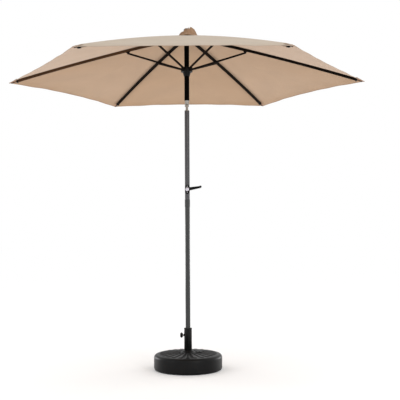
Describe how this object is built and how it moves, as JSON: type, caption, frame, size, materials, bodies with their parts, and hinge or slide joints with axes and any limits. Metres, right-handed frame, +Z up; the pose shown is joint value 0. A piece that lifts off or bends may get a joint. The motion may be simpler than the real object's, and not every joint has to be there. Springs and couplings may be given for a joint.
{
  "type": "patio umbrella with base",
  "caption": "Crank-operated garden parasol with folding ribs, tilting top and a round fillable base.",
  "frame": {"origin": "on the ground, at the pole's axis under the middle of the base", "axes": "+Z up along the pole, -Y towards the crank, +X towards rib 1"},
  "size_m": [2.56, 2.217, 2.4514],
  "materials": {
    "tank_plastic": "matt blow-moulded black, fine grain",
    "black_steel": "gloss black powder coat",
    "grey_steel": "dark grey powder coat, satin",
    "dark_steel": "near-black powder coat, satin",
    "black_plastic": "moulded, satin",
    "white_plastic": "moulded nylon",
    "seal_rubber": "soft",
    "zinc_steel": "zinc plated",
    "pad_brass": "plain",
    "cast_alloy": "satin cast",
    "bright_cap": "silver finish",
    "finial_gloss": "gloss",
    "canopy_cloth": "plain weave polyester"
  },
  "bodies": {
    "base": {"base_tank": "tank_plastic", "base_tube": "black_steel", "pole_bush": "black_plastic"},
    "clamp_pad": {"clamp_pad": "pad_brass"},
    "clamp_knob": {"clamp_screw": "zinc_steel", "clamp_knob": "black_plastic"},
    "fill_cap": {"fill_cap": "black_plastic", "cap_seal": "seal_rubber"},
    "pole": {"lower_pole": "grey_steel", "pole_foot": "black_plastic", "joint_collar": "grey_steel", "pole_spigot": "zinc_steel", "mid_pole": "grey_steel", "crank_housing": "black_plastic", "shaft_bush": "black_plastic", "brake_spring": "zinc_steel", "housing_screws": "zinc_steel", "tilt_socket": "cast_alloy"},
    "crank": {"crank_shaft": "zinc_steel", "cord_spool": "black_plastic", "crank_arm": "black_plastic", "crank_cap": "bright_cap", "grip_pin": "zinc_steel"},
    "crank_grip": {"crank_grip": "black_plastic"},
    "upper": {"tilt_fork": "cast_alloy", "tilt_pin": "zinc_steel", "button_spring": "zinc_steel", "upper_pole": "dark_steel", "top_hub": "black_plastic", "hub_pins": "zinc_steel", "finial": "finial_gloss", "vent_cap": "canopy_cloth"},
    "tilt_button": {"tilt_button": "cast_alloy"},
    "pulley": {"pulley": "white_plastic"},
    "runner": {"runner": "black_plastic", "runner_pins": "zinc_steel"},
    "rib_1": {"rib_1": "dark_steel", "rib_fittings_1": "black_plastic", "canopy_panel_1": "canopy_cloth"},
    "strut_1": {"strut_1": "dark_steel"},
    "rib_2": {"rib_2": "dark_steel", "rib_fittings_2": "black_plastic", "canopy_panel_2": "canopy_cloth"},
    "strut_2": {"strut_2": "dark_steel"},
    "rib_3": {"rib_3": "dark_steel", "rib_fittings_3": "black_plastic", "canopy_panel_3": "canopy_cloth"},
    "strut_3": {"strut_3": "dark_steel"},
    "rib_4": {"rib_4": "dark_steel", "rib_fittings_4": "black_plastic", "canopy_panel_4": "canopy_cloth"},
    "strut_4": {"strut_4": "dark_steel"},
    "rib_5": {"rib_5": "dark_steel", "rib_fittings_5": "black_plastic", "canopy_panel_5": "canopy_cloth"},
    "strut_5": {"strut_5": "dark_steel"},
    "rib_6": {"rib_6": "dark_steel", "rib_fittings_6": "black_plastic", "canopy_panel_6": "canopy_cloth"},
    "strut_6": {"strut_6": "dark_steel"}
  },
  "joints": [
    {"name": "pole_turn", "type": "hinge", "parent": "base", "child": "pole", "pos_m": [0, 0, 0.011], "axis": [0, 0, 1], "range_deg": [-180, 180]},
    {"name": "clamp_pad_slide", "type": "slide", "parent": "base", "child": "clamp_pad", "axis": [-1, 0, 0], "range_m": [0, 0.0045]},
    {"name": "clamp_knob_turn", "type": "hinge", "parent": "clamp_pad", "child": "clamp_knob", "pos_m": [-0.04, 0, 0.246], "axis": [-1, 0, 0], "range_deg": [0, 1090]},
    {"name": "fill_cap_lift", "type": "slide", "parent": "base", "child": "fill_cap", "axis": [0, 0, 1], "range_m": [0, 0.06]},
    {"name": "crank_turn", "type": "hinge", "parent": "pole", "child": "crank", "pos_m": [0, -0.02, 1.292], "axis": [0, 1, 0], "range_deg": [0, 2522]},
    {"name": "crank_grip_spin", "type": "hinge", "parent": "crank", "child": "crank_grip", "pos_m": [0.09466, -0.075, 1.30801], "axis": [0, 1, 0], "continuous": true},
    {"name": "tilt", "type": "hinge", "parent": "pole", "child": "upper", "pos_m": [0, 0, 1.895], "axis": [1, 0, 0], "range_deg": [-35, 0]},
    {"name": "tilt_button_push", "type": "slide", "parent": "upper", "child": "tilt_button", "axis": [0, 1, 0], "range_m": [0, 0.003], "stiffness_N_per_m": 900, "springref_m": -0.002, "deforming": ["button_spring"]},
    {"name": "pulley_turn", "type": "hinge", "parent": "upper", "child": "pulley", "pos_m": [0, 0, 2.346], "axis": [1, 0, 0], "range_deg": [0, 3723]},
    {"name": "rib_1_fold", "type": "hinge", "parent": "upper", "child": "rib_1", "pos_m": [0.036, 0, 2.3885], "axis": [0, 1, 0], "range_deg": [0, 71.16], "deforming": ["canopy_panel_1"]},
    {"name": "strut_1_fold", "type": "hinge", "parent": "rib_1", "child": "strut_1", "pos_m": [0.421, 0, 2.272], "axis": [0, 1, 0], "range_deg": [-142.32, 0]},
    {"name": "rib_2_fold", "type": "hinge", "parent": "upper", "child": "rib_2", "pos_m": [0.018, 0.03118, 2.3885], "axis": [-0.866, 0.5, 0], "range_deg": [0, 71.16], "deforming": ["canopy_panel_2"]},
    {"name": "strut_2_fold", "type": "hinge", "parent": "rib_2", "child": "strut_2", "pos_m": [0.2105, 0.3646, 2.272], "axis": [-0.866, 0.5, 0], "range_deg": [-142.32, 0]},
    {"name": "rib_3_fold", "type": "hinge", "parent": "upper", "child": "rib_3", "pos_m": [-0.018, 0.03118, 2.3885], "axis": [-0.866, -0.5, 0], "range_deg": [0, 71.16], "deforming": ["canopy_panel_3"]},
    {"name": "strut_3_fold", "type": "hinge", "parent": "rib_3", "child": "strut_3", "pos_m": [-0.2105, 0.3646, 2.272], "axis": [-0.866, -0.5, 0], "range_deg": [-142.32, 0]},
    {"name": "rib_4_fold", "type": "hinge", "parent": "upper", "child": "rib_4", "pos_m": [-0.036, 0, 2.3885], "axis": [0, -1, 0], "range_deg": [0, 71.16], "deforming": ["canopy_panel_4"]},
    {"name": "strut_4_fold", "type": "hinge", "parent": "rib_4", "child": "strut_4", "pos_m": [-0.421, 0, 2.272], "axis": [0, -1, 0], "range_deg": [-142.32, 0]},
    {"name": "rib_5_fold", "type": "hinge", "parent": "upper", "child": "rib_5", "pos_m": [-0.018, -0.03118, 2.3885], "axis": [0.866, -0.5, 0], "range_deg": [0, 71.16], "deforming": ["canopy_panel_5"]},
    {"name": "strut_5_fold", "type": "hinge", "parent": "rib_5", "child": "strut_5", "pos_m": [-0.2105, -0.3646, 2.272], "axis": [0.866, -0.5, 0], "range_deg": [-142.32, 0]},
    {"name": "rib_6_fold", "type": "hinge", "parent": "upper", "child": "rib_6", "pos_m": [0.018, -0.03118, 2.3885], "axis": [0.866, 0.5, 0], "range_deg": [0, 71.16], "deforming": ["canopy_panel_6"]},
    {"name": "strut_6_fold", "type": "hinge", "parent": "rib_6", "child": "strut_6", "pos_m": [0.2105, -0.3646, 2.272], "axis": [0.866, 0.5, 0], "range_deg": [-142.32, 0]},
    {"name": "runner_level", "type": "hinge", "parent": "strut_1", "child": "runner", "pos_m": [0.036, 0, 2.1555], "axis": [0, 1, 0], "range_deg": [0, 71.16]}
  ],
  "couplings": [
    {"joint": "clamp_knob_turn", "follows": "clamp_pad_slide", "rad_per_m": 4188.8},
    {"joint": "crank_turn", "follows": "rib_1_fold", "ratio": 35.413},
    {"joint": "pulley_turn", "follows": "rib_1_fold", "ratio": 52.243},
    {"joint": "strut_1_fold", "follows": "rib_1_fold", "ratio": -2},
    {"joint": "rib_2_fold", "follows": "rib_1_fold", "ratio": 1},
    {"joint": "strut_2_fold", "follows": "rib_1_fold", "ratio": -2},
    {"joint": "rib_3_fold", "follows": "rib_1_fold", "ratio": 1},
    {"joint": "strut_3_fold", "follows": "rib_1_fold", "ratio": -2},
    {"joint": "rib_4_fold", "follows": "rib_1_fold", "ratio": 1},
    {"joint": "strut_4_fold", "follows": "rib_1_fold", "ratio": -2},
    {"joint": "rib_5_fold", "follows": "rib_1_fold", "ratio": 1},
    {"joint": "strut_5_fold", "follows": "rib_1_fold", "ratio": -2},
    {"joint": "rib_6_fold", "follows": "rib_1_fold", "ratio": 1},
    {"joint": "strut_6_fold", "follows": "rib_1_fold", "ratio": -2},
    {"joint": "runner_level", "follows": "rib_1_fold", "ratio": 1}
  ]
}
